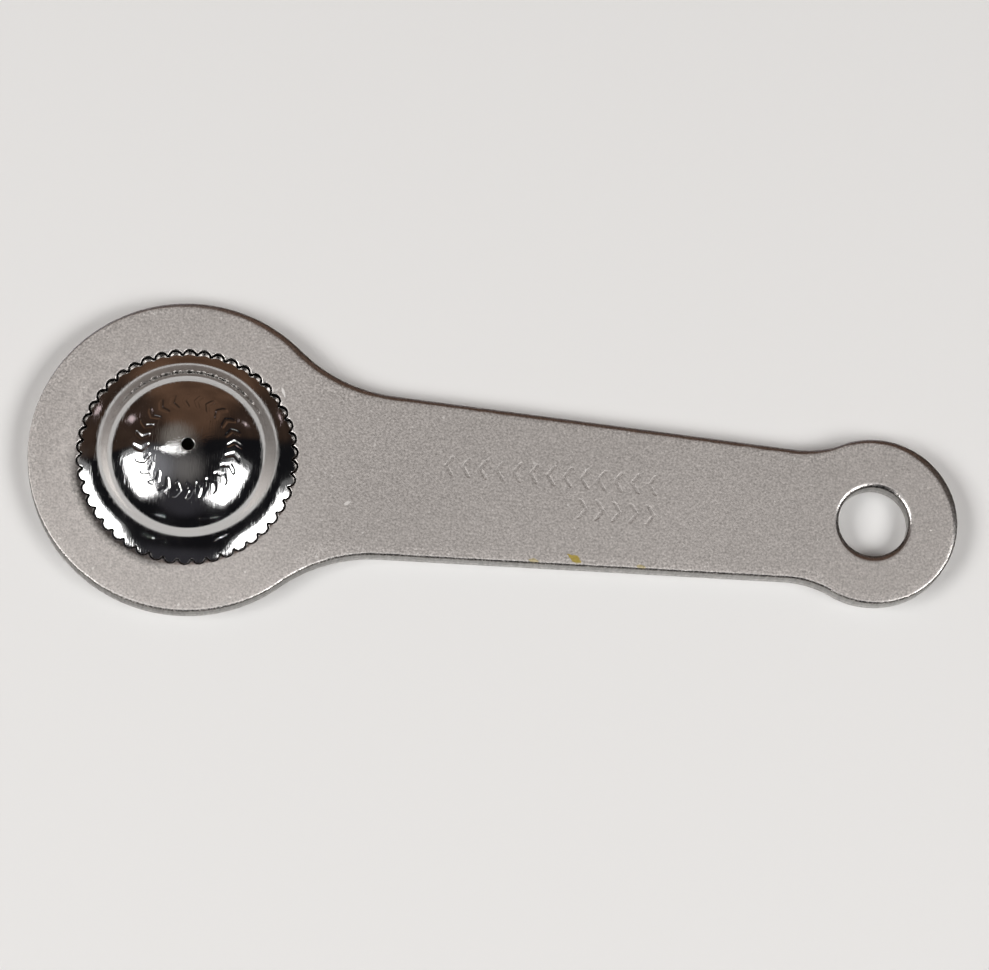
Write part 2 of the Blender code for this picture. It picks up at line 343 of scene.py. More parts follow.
def blend_centre(end_centre, end_radius, blend_radius, half_width, taper, towards):
    """Centre of the hollow arc that joins a round end to the upper straight edge."""
    across = Vector((sin(taper), cos(taper)))
    along = towards * Vector((cos(taper), -sin(taper)))
    rise = half_width * cos(taper) + blend_radius
    run = sqrt((end_radius + blend_radius) ** 2 - rise**2)
    return end_centre + rise * across + run * along


def wrench_outline():
    """Outer outline as (point, outward normal) pairs, all round."""
    taper = atan((WIDTH_AT_HEAD - WIDTH_AT_TAIL) / 2 / (TAIL - HEAD).length)
    edge_turn = -pi / 2 - taper
    head_blend = blend_centre(HEAD, HEAD_RADIUS, HEAD_BLEND_RADIUS, WIDTH_AT_HEAD / 2, taper, 1)
    tail_blend = blend_centre(TAIL, TAIL_RADIUS, TAIL_BLEND_RADIUS, WIDTH_AT_TAIL / 2, taper, -1)
    head_turn = angle_of(head_blend - HEAD)
    tail_turn = angle_of(tail_blend - TAIL)
    upper = []
    for centre, radius, start, end, side in (
        (TAIL, TAIL_RADIUS, 0.0, tail_turn, 1),
        (tail_blend, TAIL_BLEND_RADIUS, tail_turn - pi, edge_turn, -1),
        (head_blend, HEAD_BLEND_RADIUS, edge_turn, head_turn - pi, -1),
        (HEAD, HEAD_RADIUS, head_turn, pi, 1),
    ):
        run = arc_run(centre, radius, start, end, steps_along(radius * abs(end - start)), side)
        if upper and (run[0][0] - upper[-1][0]).length > OUTLINE_SPACING:
            first, last = upper[-1][0], run[0][0]
            steps = steps_along((last - first).length)
            upper += [(first.lerp(last, i / steps), run[0][1]) for i in range(1, steps)]
            upper += run
        else:
            upper += run[1:] if upper else run
    lower = [
        (Vector((point.x, -point.y)), Vector((normal.x, -normal.y)))
        for point, normal in reversed(upper[1:-1])
    ]
    return upper + lower


def root_arc():
    """Distance of a root's own centre from the head's, and the root's radius."""
    tip = TIP_RADIUS * turn_to(HALF_PITCH)
    drop = ROOT_RADIUS - tip.x
    radius = (drop**2 + tip.y**2) / (2 * drop)
    return ROOT_RADIUS - radius, radius


def rotated(vector, turn):
    """A vector turned by the angle of another, which has length 1."""
    return Vector((turn.x * vector.x - turn.y * vector.y, turn.y * vector.x + turn.x * vector.y))


def repeat_round(one_pitch):
    """One tooth's (point, normal) pairs, repeated round the head's centre."""
    outline = []
    for tooth in range(TOOTH_COUNT):
        turn = turn_to(2 * HALF_PITCH * tooth)
        for point, normal in one_pitch:
            outline.append((HEAD + rotated(point, turn), rotated(normal, turn)))
    return outline


def toothed_outline():
    """The hole in the plate: round roots and slightly rounded tooth tips. Normals point into the plate."""
    reach, radius = root_arc()
    sideways = reach * sin(HALF_PITCH)
    tip_reach = reach * cos(HALF_PITCH)
    tip_reach += sqrt((radius + TOOTH_TIP_ROUND) ** 2 - sideways**2)
    root = Vector((reach, 0.0))
    tip = tip_reach * turn_to(HALF_PITCH)
    swing = angle_of(tip - root)
    one = arc_run(root, radius, -swing, swing, ROOT_STEPS, 1)
    start = swing + pi
    end = 2 * HALF_PITCH + pi - swing
    one += arc_run(tip, TOOTH_TIP_ROUND, start, end, TIP_STEPS, -1)[1:-1]
    return repeat_round(one)


def lobed_outline():
    """The cap's rim: a round lobe in each root, with a gap all round. Normals point outwards."""
    reach, radius = root_arc()
    root = Vector((reach, 0.0))
    tip = TIP_RADIUS * turn_to(HALF_PITCH)
    swing = angle_of(tip - root)
    one = arc_run(root, radius - RIM_GAP, -swing, swing, LOBE_STEPS, 1)
    start = swing + pi
    end = 2 * pi + 2 * HALF_PITCH - start
    one += arc_run(tip, RIM_GAP, start, end, VALLEY_STEPS, -1)[1:-1]
    return repeat_round(one)


def inset_ring(outline, height, inset_at):
    """A level ring inside an outline, by a distance that a function gives for each place."""
    return [Vector((*(point - inset_at(point, normal) * normal), height)) for point, normal in outline]


def ring_at(outline, inset, height):
    """A level ring that lies an even distance inside an outline."""
    return inset_ring(outline, height, lambda point, normal: inset)


def untangled(ring):
    """A level ring with each small loop, made where it turned in a tight corner, pulled to a point."""
    ring = list(ring)
    count = len(ring)
    for i in range(count):
        for ahead in range(LONGEST_LOOP, 1, -1):
            ends = [ring[k % count].xy for k in (i, i + 1, i + ahead, i + ahead + 1)]
            crossing = geometry.intersect_line_line_2d(*ends)
            if crossing is not None:
                for k in range(i + 1, i + ahead + 1):
                    ring[k % count] = Vector((*crossing, ring[i].z))
                break
    return ring


def quarter_round(rows):
    """Pairs of shares that run from (0, 1) to (1, 0) round a quarter of a circle."""
    turns = [pi / 2 * row / rows for row in range(rows + 1)]
    return [(1 - cos(turn), 1 - sin(turn)) for turn in turns]


def wander(place, scale, seed):
    """A smooth random number from -1 to 1 that changes from place to place."""
    return noise.noise(Vector((place.x / scale, place.y / scale, seed)))


def add_rings(shape, rings, closed_loop=False):
    """Quads between successive rings of equal length."""
    made = [[shape.verts.new(place) for place in ring] for ring in rings]
    pairs = list(zip(made, made[1:]))
    if closed_loop:
        pairs.append((made[-1], made[0]))
    count = len(made[0])
    for upper, lower in pairs:
        for i in range(count):
            j = (i + 1) % count
            shape.faces.new((upper[i], upper[j], lower[j], lower[i]))


def around(face):
    """The edges of a face, each as a pair of places in the order that the face runs."""
    return zip(face, [*face[1:], face[0]])


def fill_flat(shape, loops, height):
    """A flat face between an outer loop and the holes in it, as triangles.

    It spreads from the outer loop's triangles inwards, and never across a loop's edge."""
    points = []
    edges = []
    for loop in loops:
        first = len(points)
        points += [place.xy for place in loop]
        edges += [(first + i, first + (i + 1) % len(loop)) for i in range(len(loop))]
    places, lines, faces, _, sources, _ = geometry.delaunay_2d_cdt(
        points, edges, [], KEEP_INSIDE_ONLY, SAME_PLACE
    )
    faces = [tuple(face) for face in faces]
    face_left_of = {edge: face for face in faces for edge in around(face)}
    rims = {frozenset(line): min(source) for line, source in zip(lines, sources) if source}
    outside = len(edges)
    to_visit = [
        face
        for face in faces
        if any(rims.get(frozenset(edge), outside) < len(loops[0]) for edge in around(face))
    ]
    filled = set(to_visit)
    while to_visit:
        for here, there in around(to_visit.pop()):
            beyond = face_left_of.get((there, here))
            if beyond and beyond not in filled and frozenset((here, there)) not in rims:
                filled.add(beyond)
                to_visit.append(beyond)
    verts = [shape.verts.new((place.x, place.y, height)) for place in places]
    for face in faces:
        if face in filled:
            shape.faces.new([verts[i] for i in face])


def new_object(name, data):
    """An object in the scene with a mesh, lamp or camera as its data."""
    obj = bpy.data.objects.new(name, data)
    bpy.context.scene.collection.objects.link(obj)
    return obj


def mesh_object(name, shape, material):
    mesh = bpy.data.meshes.new(name)
    shape.to_mesh(mesh)
    shape.free()
    mesh.materials.append(material)
    return new_object(name, mesh)


def finish_mesh(name, shape, material):
    """Joins the rings and faces of a bmesh into one smooth closed object."""
    bmesh.ops.remove_doubles(shape, verts=shape.verts, dist=SAME_VERTEX)
    bmesh.ops.recalc_face_normals(shape, faces=shape.faces)
    obj = mesh_object(name, shape, material)
    obj.data.shade_smooth()
    weighted = obj.modifiers.new("Flat faces stay flat", "WEIGHTED_NORMAL")
    weighted.weight = 100
    return obj


# The wrench


def drawn_edge(stages):
    """(distance from the flat, drop below it) down an edge that the die drew over.

    Each stage is an arc of some width that ends at a slope in degrees."""
    rows = [(0.0, 0.0)]
    slope = 0.0
    for width, end in stages:
        start, slope = slope, radians(end)
        radius = width / (sin(slope) - sin(start))
        reach, drop = rows[-1]
        for row in range(1, STAGE_ROWS + 1):
            turn = start + (slope - start) * row / STAGE_ROWS
            sideways = radius * (sin(turn) - sin(start))
            rows.append((reach + sideways, drop + radius * (cos(start) - cos(turn))))
    return rows


def roll_width(point, normal):
    """How wide the roll round the outside is at a place, as a share: the die drew unevenly."""
    share = 1 + ROLL_WANDER * wander(point, ROLL_WANDER_SCALE, 0.0)
    share += ROLL_WIDER_NORTH * normal.y
    share += ROLL_WIDER_NORTH_EAST * max(0.0, normal.dot(NORTH_EAST)) ** 3
    return share * (1 - ROLL_NARROWER_WEST * max(0.0, -normal.x) ** 1.5)


def hang_roll_width(point, normal):
    """How wide the roll round the hang hole is at a place, as a share. Normals point into the hole."""
    return 1 + HANG_ROLL_WIDER_SOUTH * max(0.0, normal.y) ** 2


def edge_rings(outline, stages, share_at):
    """Rings down a drawn edge, from the flat top face to the wall."""
    rows = drawn_edge(stages)
    width = rows[-1][0]
    rings = []
    for reach, drop in rows:
        rings.append(
            inset_ring(outline, PLATE_TOP - drop, lambda *place: (width - reach) * share_at(*place))
        )
    return rings


def sheared_rings(outline, top):
    """Rings down a sheared wall: burnished above, torn and a little undercut below."""
    def ragged(point, normal):
        return share * (FRACTURE_STEP + FRACTURE_RAGGED * wander(point, RAGGED_SCALE, height / MM))

    rings = []
    for height, share in ((top - BURNISH_ROW_DROP, 0.0), *SHEAR_ROWS):
        rings.append(inset_ring(outline, height, ragged))
    return rings


def break_rings(outline, inset):
    """Rings round the small broken edge at the underside, ending on the flat."""
    return [
        ring_at(outline, inset + EDGE_BREAK * inwards, EDGE_BREAK * rise)
        for inwards, rise in quarter_round(BREAK_ROWS)
    ]


def sheared_side(shape, outline, roll, share_at):
    """A side with its drawn upper edge. Gives its first ring, on top, and its last, below."""
    rings = edge_rings(outline, roll, share_at)
    rings += sheared_rings(outline, rings[-1][0].z)
    rings += break_rings(outline, FRACTURE_STEP)
    add_rings(shape, rings)
    return rings[0], rings[-1]


def lip_start(turn):
    """Distance from the head's centre at which the lip begins. It is wider where the punch leaned."""
    (width, _), (reach, _) = TOOTHED_HOLE_LIP
    widening = 1 + LIP_WIDENING * max(0.0, cos(turn - LIP_WIDEST_TURN)) ** 3
    return TIP_RADIUS + reach + width * widening


def lip_drop(arm):
    """How far the lip has been drawn down at a place, given from the head's centre."""
    turn = angle_of(arm)
    reaches, drops = zip(*drawn_edge(TOOTHED_HOLE_LIP))
    (width, _), (reach, _) = TOOTHED_HOLE_LIP
    into = (lip_start(turn) - arm.length) * (width + reach) / (lip_start(turn) - TIP_RADIUS)
    return float(np.interp(into, reaches, drops))


def lip_rings(edge):
    """Rings down the lip, from a circle on the flat face to the teeth's edge."""
    rings = []
    for row in range(LIP_ROWS + 1):
        share = row / LIP_ROWS
        ring = []
        for place in edge:
            arm = place.xy - HEAD
            outer = lip_start(angle_of(arm))
            arm *= (outer + (arm.length - outer) * share) / arm.length
            ring.append(Vector((*(HEAD + arm), PLATE_TOP - lip_drop(arm))))
        rings.append(ring)
    return rings


def toothed_hole(shape):
    """The side of the toothed hole. Gives its first ring, on top, and its last, below."""
    outline = [(point, -normal) for point, normal in toothed_outline()]
    rings = lip_rings(ring_at(outline, TOOTH_EDGE, 0.0))
    tooth_heights = [PLATE_TOP - lip_drop(point - HEAD) for point, _ in outline]
    for inset_share, drop_share in TOOTH_EDGE_ROWS:
        rings.append(
            [
                Vector((*(point - inset_share * TOOTH_EDGE * normal), height - drop_share * TOOTH_EDGE))
                for (point, normal), height in zip(outline, tooth_heights)
            ]
        )
    rings.append(ring_at(outline, 0.0, FRACTURE_TOP))
    rings += [untangled(ring) for ring in break_rings(outline, 0.0)]
    add_rings(shape, rings)
    return rings[0], rings[-1]


def places_across(mark):
    """Sideways places over one mark's pitch, even about its middle and closest in the mark's walls."""
    foot = mark.half_width - mark.shoulder / 2
    brow = mark.half_width + mark.shoulder / 2
    gap = (mark.pitch / 2 - brow) / (mark.outer_steps + 0.5)
    half = [foot * i / FLOOR_STEPS for i in range(1, FLOOR_STEPS + 1)]
    half += [foot + mark.shoulder * i / WALL_STEPS for i in range(1, WALL_STEPS + 1)]
    half += [brow + gap * i for i in range(1, mark.outer_steps + 1)]
    return [-place for place in reversed(half)] + [0.0] + half


def places_along(mark):
    """Places from below one end of a mark to beyond the other, closest at its round ends."""
    straight = mark.half_height - mark.half_width
    step = (mark.half_width + mark.shoulder / 2) / END_STEPS
    end = [straight + step * i for i in range(1, END_STEPS + 1)]
    middle = np.linspace(-straight, straight, BEND_STEPS + 1).tolist()
    return [-place for place in reversed(end)] + middle + end


def pressed(mark, aside, along):
    """Share of a mark's full depth at a place beside and along its bent middle line."""
    across = cos(atan(mark.point / mark.half_height)) * aside
    beyond = max(abs(along) - mark.half_height + mark.half_width, 0.0)
    share = 0.5 + (mark.half_width - hypot(across, beyond)) / mark.shoulder
    share = min(max(share, 0.0), 1.0)
    return share * share * (3 - 2 * share)


def bend(mark, along):
    """How far sideways a chevron's middle line lies from its two ends."""
    return mark.point * (1 - min(abs(along) / mark.half_height, 1.0))


def field_lines():
    """Heights across the handle at which the stamped field has a line of vertices."""
    span = places_along(MARK)
    lower, upper = (height for height, *_ in MARK_ROWS)
    lines = [lower + span[0] - MARK_MARGIN, lower + span[0] - MARK_MARGIN / 2]
    lines += [lower + place for place in span]
    lines += np.linspace(lower + span[-1], upper + span[0], 4)[1:-1].tolist()
    lines += [upper + place for place in span]
    lines += [upper + span[-1] + MARK_MARGIN / 2, upper + span[-1] + MARK_MARGIN]
    return lines


def stamped_field(shape):
    """A fine part of the top face with chevrons pressed into it. Its lines run along their strokes."""
    across = places_across(MARK)
    mean_depth, depth_swing = MARK_DEPTH_SHARES
    knots = []
    shifts = []
    for height, _, towards in MARK_ROWS:
        for along in (-MARK.half_height, 0.0, MARK.half_height):
            knots.append(height + along)
            shifts.append(towards * (bend(MARK, along) - MARK.point / 2))
    verts = []
    for line in field_lines():
        shift = float(np.interp(line, knots, shifts))
        row = []
        for number in range(MARK_COUNT):
            for offset in across:
                place = Vector((MARK_FIRST + number * MARK.pitch + offset + shift, line))
                depth = MARK.depth * (mean_depth + depth_swing * wander(place, MARK_DEPTH_SCALE, 7.0))
                depth *= sum(
                    pressed(MARK, offset, line - height)
                    for height, first, _ in MARK_ROWS
                    if number >= first
                )
                row.append(shape.verts.new((*place, PLATE_TOP - depth)))
        verts.append(row)
    for lower, upper in zip(verts, verts[1:]):
        for i in range(len(lower) - 1):
            shape.faces.new((lower[i], lower[i + 1], upper[i + 1], upper[i]))
    loop = verts[0][:-1]
    loop += [row[-1] for row in verts[:-1]]
    loop += verts[-1][:0:-1]
    loop += [row[0] for row in verts[:0:-1]]
    return [vert.co.copy() for vert in loop]


def make_wrench(material):
    shape = bmesh.new()
    outer_top, outer_under = sheared_side(shape, wrench_outline(), OUTER_ROLL, roll_width)
    hang_outline = arc_run(TAIL, HANG_HOLE_RADIUS, 0.0, 2 * pi, HANG_HOLE_STEPS, -1)[:-1]
    hang_top, hang_under = sheared_side(shape, hang_outline, HANG_HOLE_ROLL, hang_roll_width)
    teeth_top, teeth_under = toothed_hole(shape)
    field = stamped_field(shape)
    fill_flat(shape, [outer_top, hang_top, teeth_top, field], PLATE_TOP)
    fill_flat(shape, [outer_under, hang_under, teeth_under], 0.0)
    wrench = finish_mesh("stamped_wrench", shape, material)
    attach(wrench, "root")
    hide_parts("wrench")
    return wrench


# The dust cap


def cove():
    """Radius, start radius and start height of the hollow arc between dome and rim."""
    turn = atan(tan(DOME_EDGE_SLOPE) * DOME_RADIUS / DOME_HEIGHT)
    start = DOME_RADIUS * sin(turn)
    radius = (LOBE_RADIUS - start) / (sin(DOME_EDGE_SLOPE) - sin(RIM_SLOPE))
    height = RIM_TOP + radius * (cos(RIM_SLOPE) - cos(DOME_EDGE_SLOPE))
    return radius, start, height, height - DOME_HEIGHT * cos(turn)


def cap_top(radius):
    """Height and slope of the cap's upper side at a distance from its axis."""
    cove_radius, cove_start, cove_height, dome_foot = cove()
    if radius <= cove_start:
        turn = asin(radius / DOME_RADIUS)
        slope = atan(tan(turn) * DOME_HEIGHT / DOME_RADIUS)
        return dome_foot + DOME_HEIGHT * cos(turn), slope
    sine = sin(DOME_EDGE_SLOPE) - (radius - cove_start) / cove_radius
    slope = asin(max(sine, LEAST_SLOPE_SINE))
    return cove_height - cove_radius * (cos(slope) - cos(DOME_EDGE_SLOPE)), slope


def cap_radii():
    """Distances from the axis at which the cap's upper side is sampled, up to the blend."""
    band = [RING_MARK_RADIUS + place for place in places_along(RING_MARK)]
    vent_brink = VENT_RADIUS + VENT_EDGE
    inner = np.linspace(vent_brink + VENT_SUPPORT, band[0], DOME_ROWS, endpoint=False)
    outer = np.linspace(CAP_BLEND_START, band[-1], COVE_ROWS, endpoint=False)[::-1]
    return [float(radius) for radius in (vent_brink, *inner, *band, *outer)]


def even_ring(turns, radius, height):
    return [Vector((HEAD.x + radius * cos(t), radius * sin(t), height)) for t in turns]


def dome_rings(turns):
    """The dome and its cove. Near the ring of chevrons the vertices close up along their strokes."""
    across = places_across(RING_MARK)
    middles = [turns[i - i % len(across) + len(across) // 2] for i in range(len(turns))]
    rings = []
    for radius in cap_radii():
        height, slope = cap_top(radius)
        along = radius - RING_MARK_RADIUS
        hold = 1 - (abs(along) - RING_MARK.half_height - RING_MARK.shoulder) / RING_MARK_FADE
        hold = min(max(hold, 0.0), 1.0)
        point = bend(RING_MARK, along) / RING_MARK_RADIUS
        ring = []
        for i, (even, middle) in enumerate(zip(turns, middles)):
            offset = across[i % len(across)]
            turn = even + hold * (middle + offset / RING_MARK_RADIUS - even) + point
            depth = RING_MARK.depth * pressed(RING_MARK, offset, along)
            spot = HEAD + (radius - depth * sin(slope)) * turn_to(turn)
            ring.append(Vector((*spot, height - depth * cos(slope))))
        rings.append(ring)
    return rings


def blend_rings(turns, edge):
    """Rings that change from an even circle to the lobed edge. The last one is the edge."""
    rings = []
    for row in range(1, CAP_BLEND_ROWS + 1):
        share = row / CAP_BLEND_ROWS
        ring = []
        for turn, place in zip(turns, edge):
            arm = place.xy - HEAD
            swing = (angle_of(arm) - turn + pi) % (2 * pi) - pi
            radius = CAP_BLEND_START + (arm.length - CAP_BLEND_START) * share
            spot = HEAD + radius * turn_to(turn + swing * share)
            height, _ = cap_top(radius)
            ring.append(Vector((*spot, height)))
        rings.append(ring)
    return rings


def skirt_rings(turns):
    """Threaded outer side of the skirt, its rounded end and the bore, from the top down."""
    rings = []
    for row in range(THREAD_ROWS + 1):
        height = RIM_UNDERSIDE + (THREAD_LEAD - RIM_UNDERSIDE) * row / THREAD_ROWS
        fade = min(1.0, (RIM_UNDERSIDE - height) / THREAD_LEAD, height / THREAD_LEAD - 0.5)
        ring = []
        for turn in turns:
            wave = 0.5 + 0.5 * cos(2 * pi * height / THREAD_PITCH - turn)
            radius = SKIRT_RADIUS - THREAD_DEPTH * wave**THREAD_SHARPNESS * fade
            ring.append(Vector((*(HEAD + radius * turn_to(turn)), height)))
        rings.append(ring)
    return rings + [even_ring(turns, radius, height) for radius, height in SKIRT_FOOT]


def lining_rings(turns):
    """Inside of the shell, from the bore up to the vent."""
    places = []
    corner_width, corner_height = LINING_CORNER
    last = VENT_RADIUS + LINING_STOPS_FROM_VENT
    for radius in np.linspace(CAP_BLEND_START, last, LINING_ROWS).tolist():
        height, slope = cap_top(radius)
        place = (radius - SHELL_WALL * sin(slope), height - SHELL_WALL * cos(slope))
        if place[0] < BORE_RADIUS - corner_width:
            places.append(place)
    rings = [even_ring(turns, BORE_RADIUS, places[0][1] - corner_height)]
    rings += [even_ring(turns, radius, height) for radius, height in places if radius > VENT_RADIUS]
    return rings


def vent_rings(turns, below):
    """The vent's wall and its rounded upper edge, from below."""
    rings = [even_ring(turns, VENT_RADIUS, below)]
    height, _ = cap_top(VENT_RADIUS + VENT_EDGE)
    for outwards, drop in quarter_round(VENT_ROWS)[:-1]:
        rings.append(even_ring(turns, VENT_RADIUS + VENT_EDGE * outwards, height - VENT_EDGE * drop))
    return rings


def rim_rings(outline, top_ring):
    """The rim's rounded upper edge, its side and its lower edge, on from the last ring of its top."""
    rings = []
    for drop, inset in quarter_round(RIM_EDGE_ROWS)[1:]:
        edge = ring_at(outline, RIM_EDGE * inset, 0.0)
        rings.append([Vector((*p.xy, above.z - RIM_EDGE * drop)) for p, above in zip(edge, top_ring)])
    for inset, rise in RIM_LOWER_EDGE_ROWS:
        rings.append(ring_at(outline, inset * RIM_EDGE, RIM_UNDERSIDE + rise * RIM_EDGE))
    return rings


def make_dust_cap(material):
    outline = lobed_outline()
    count = len(outline)
    turns = [2 * pi * (i - LOBE_STEPS / 2) / count for i in range(count)]
    rings = dome_rings(turns)
    rings += blend_rings(turns, ring_at(outline, RIM_EDGE, 0.0))
    rings += rim_rings(outline, rings[-1])
    rings.append(even_ring(turns, SKIRT_RADIUS + SKIRT_FILLET, RIM_UNDERSIDE))
    rings += skirt_rings(turns)
    lining = lining_rings(turns)
    rings += lining
    rings += vent_rings(turns, lining[-1][0].z)
    shape = bmesh.new()
    add_rings(shape, rings, closed_loop=True)
    cap = finish_mesh("chromed_dust_cap", shape, material)
    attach(cap, "root")
    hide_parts("dust_cap")
    return cap


# Materials


class Nodes:
    """The node tree of a material or world, with short ways to add what the looks here need."""

    def __init__(self, owner, coordinates="Object"):
        owner.use_nodes = True
        self.owner = owner
        self.tree = owner.node_tree
        self.shader = self.tree.nodes.get("Principled BSDF")
        spot = self.add("TexCoord")
        self.place = spot.outputs[coordinates]
        self.normal = spot.outputs["Normal"]

    def put(self, value, socket):
        """Sets a socket to a number, a vector or a colour, or links it to an output."""
        if isinstance(value, bpy.types.NodeSocket):
            self.tree.links.new(value, socket)
        elif socket.type == "RGBA":
            socket.default_value = (*value, 1.0)
        else:
            socket.default_value = value

    def add(self, kind, *values, named=None, **settings):
        """A new shader node with its settings, and with inputs given in their order or by name."""
        node = self.tree.nodes.new("ShaderNode" + kind)
        for key, value in settings.items():
            setattr(node, key, value)
        for value, socket in zip(values, node.inputs):
            self.put(value, socket)
        for name, value in (named or {}).items():
            self.put(value, node.inputs[name])
        return node

    def shade(self, **values):
        """Sets the shader's inputs. In their names here, an underscore stands for a space."""
        for name, value in values.items():
            self.put(value, self.shader.inputs[name.replace("_", " ")])

    def math(self, operation, *values):
        return self.add("Math", *values, operation=operation).outputs[0]

    def times(self, first, second):
        return self.math("MULTIPLY", first, second)

    def times_plus(self, first, second, added):
        return self.math("MULTIPLY_ADD", first, second, added)

    def plus(self, first, second):
        return self.math("ADD", first, second)

    def minus(self, first, second):
        return self.math("SUBTRACT", first, second)

    def size(self, value):
        return self.math("ABSOLUTE", value)

    def most(self, first, *others):
        """The largest of some values."""
        for other in others:
            first = self.math("MAXIMUM", first, other)
        return first

    def least(self, first, *others):
        """The smallest of some values."""
        for other in others:
            first = self.math("MINIMUM", first, other)
        return first

    def vector(self, operation, first, second):
        return self.add("VectorMath", first, second, operation=operation).outputs[0]

    def distance(self, first, second):
        node = self.add("VectorMath", first, second, operation="DISTANCE")
        return node.outputs["Value"]

    def joined(self, x, y, z):
        """A vector from its X, Y and Z."""
        return self.add("CombineXYZ", x, y, z).outputs[0]

    def parts(self, vector):
        """The X, Y and Z of a vector."""
        return self.add("SeparateXYZ", vector).outputs

    def remap(self, value, low, high, to_low=0.0, to_high=1.0, kind="LINEAR"):
        node = self.add("MapRange", value, low, high, to_low, to_high, interpolation_type=kind)
        return node.outputs[0]

    def fade(self, value, low, high, to_low=0.0, to_high=1.0):
        """Like remap, with a smooth start and end."""
        return self.remap(value, low, high, to_low, to_high, "SMOOTHSTEP")

    def noise(self, scale, detail=2.0, rough=0.5, place=None):
        place = self.place if place is None else place
        inputs = {"Vector": place, "Scale": scale, "Detail": detail, "Roughness": rough}
        return self.add("TexNoise", named=inputs).outputs["Fac"]

    def uneven(self, scale, low, high, detail=2.0, rough=0.5, within=NOISE_SWING):
        """A noise that swings between two values."""
        return self.remap(self.noise(scale, detail, rough), *within, low, high)

    def cells(self, scale, output="Distance"):
        node = self.add("TexVoronoi", named={"Vector": self.place, "Scale": scale})
        return node.outputs[output]

    def stretched(self, turn, scales):
        """Coordinates turned about Z and scaled unevenly, for streaks and scratches."""
        inputs = {"Vector": self.place, "Rotation": (0.0, 0.0, turn), "Scale": scales}
        return self.add("Mapping", named=inputs).outputs[0]

    def mix(self, share, first, second):
        """A colour between two, by a share from 0 to 1."""
        node = self.add("Mix", share, data_type="RGBA")
        colours = [socket for socket in node.inputs if socket.type == "RGBA"]
        self.put(first, colours[0])
        self.put(second, colours[1])
        return [socket for socket in node.outputs if socket.type == "RGBA"][0]

    def bump(self, height, distance, strength=1.0, normal=None):
        inputs = {"Height": height, "Distance": distance, "Strength": strength}
        if normal is not None:
            inputs["Normal"] = normal
        return self.add("Bump", named=inputs).outputs["Normal"]


class Plate(Nodes):
    """The steel's nodes, with where on the plate a spot lies."""

    def __init__(self):
        super().__init__(bpy.data.materials.new("satin_steel"))
        self.x, self.y, self.z = self.parts(self.place)
        _, self.towards_north, _ = self.parts(self.normal)
        self.from_head = self.distance(self.place, (*HEAD, PLATE_TOP))
        self.from_tail = self.distance(self.place, (*TAIL, PLATE_TOP))
        self.mottle = self.noise(MOTTLE_SCALE, 2.0, 0.6)
        self.streaks = self.noise(1.0, 3.0, 0.6, self.stretched(0.0, STREAK_SCALES))
        self.streaks = self.remap(self.streaks, 0.35, 0.7)
        self.round_marks = self.box_round_marks()
        self.flat = self.share_flat()
        self.cut = self.share_cut()
        self.near_edge = self.share_near_edge()
        self.on_north_edge = self.fade(self.towards_north, 0.1, 0.5, 0.0, 0.75)

    def box_round_marks(self):
        """1 round the stamped marks, in the upper half of the plate."""
        half_length, half_height = MARKS_REACH
        beside = self.size(self.minus(self.x, MARKS_MIDDLE))
        inside = self.times(
            self.math("LESS_THAN", self.size(self.y), half_height),
            self.math("LESS_THAN", beside, half_length),
        )
        return self.times(inside, self.math("GREATER_THAN", self.z, PLATE_TOP / 2))

    def share_flat(self):
        """1 on both flat faces and in the marks, 0 on rolled edges and walls."""
        top = self.fade(self.z, PLATE_TOP - 0.05 * MM, PLATE_TOP - 0.008 * MM)
        under = self.fade(self.z, 0.06 * MM, 0.01 * MM)
        return self.most(top, under, self.round_marks)

    def share_cut(self):
        """1 on the sheared walls, below a ragged line that lies higher on the south side."""
        outside = self.times(
            self.math("GREATER_THAN", self.from_head, ROOT_RADIUS + HOLE_EDGE_REACH),
            self.math("GREATER_THAN", self.from_tail, HANG_HOLE_RADIUS + HOLE_EDGE_REACH),
        )
        south = self.fade(self.towards_north, 0.05, -0.25)
        ragged = self.uneven(RAGGED_LINE_SCALE, -0.17 * MM, 0.11 * MM, 3.0)
        ragged = self.times(ragged, self.remap(south, 0.0, 1.0, 0.35, 1.0))
        lift = self.times(self.times(outside, south), -0.08 * MM)
        low = self.plus(self.z, self.plus(lift, ragged))
        cut = self.fade(low, PLATE_TOP - 0.12 * MM, PLATE_TOP - 0.24 * MM)
        return self.times(cut, self.minus(1.0, self.flat))

    def share_near_edge(self):
        """1 along the outline, 0 further in than about a millimetre and a half."""
        half_width = self.remap(self.x, HEAD.x, TAIL.x, WIDTH_AT_HEAD / 2, WIDTH_AT_TAIL / 2)
        in_handle = self.least(
            self.minus(half_width, self.size(self.y)),
            self.minus(self.x, HEAD.x),
            self.minus(TAIL.x, self.x),
        )
        in_head = self.minus(HEAD_RADIUS, self.from_head)
        in_tail = self.minus(TAIL_RADIUS, self.from_tail)
        depth = self.most(in_handle, in_head, in_tail)
        return self.fade(depth, 1.6 * MM, 0.4 * MM)


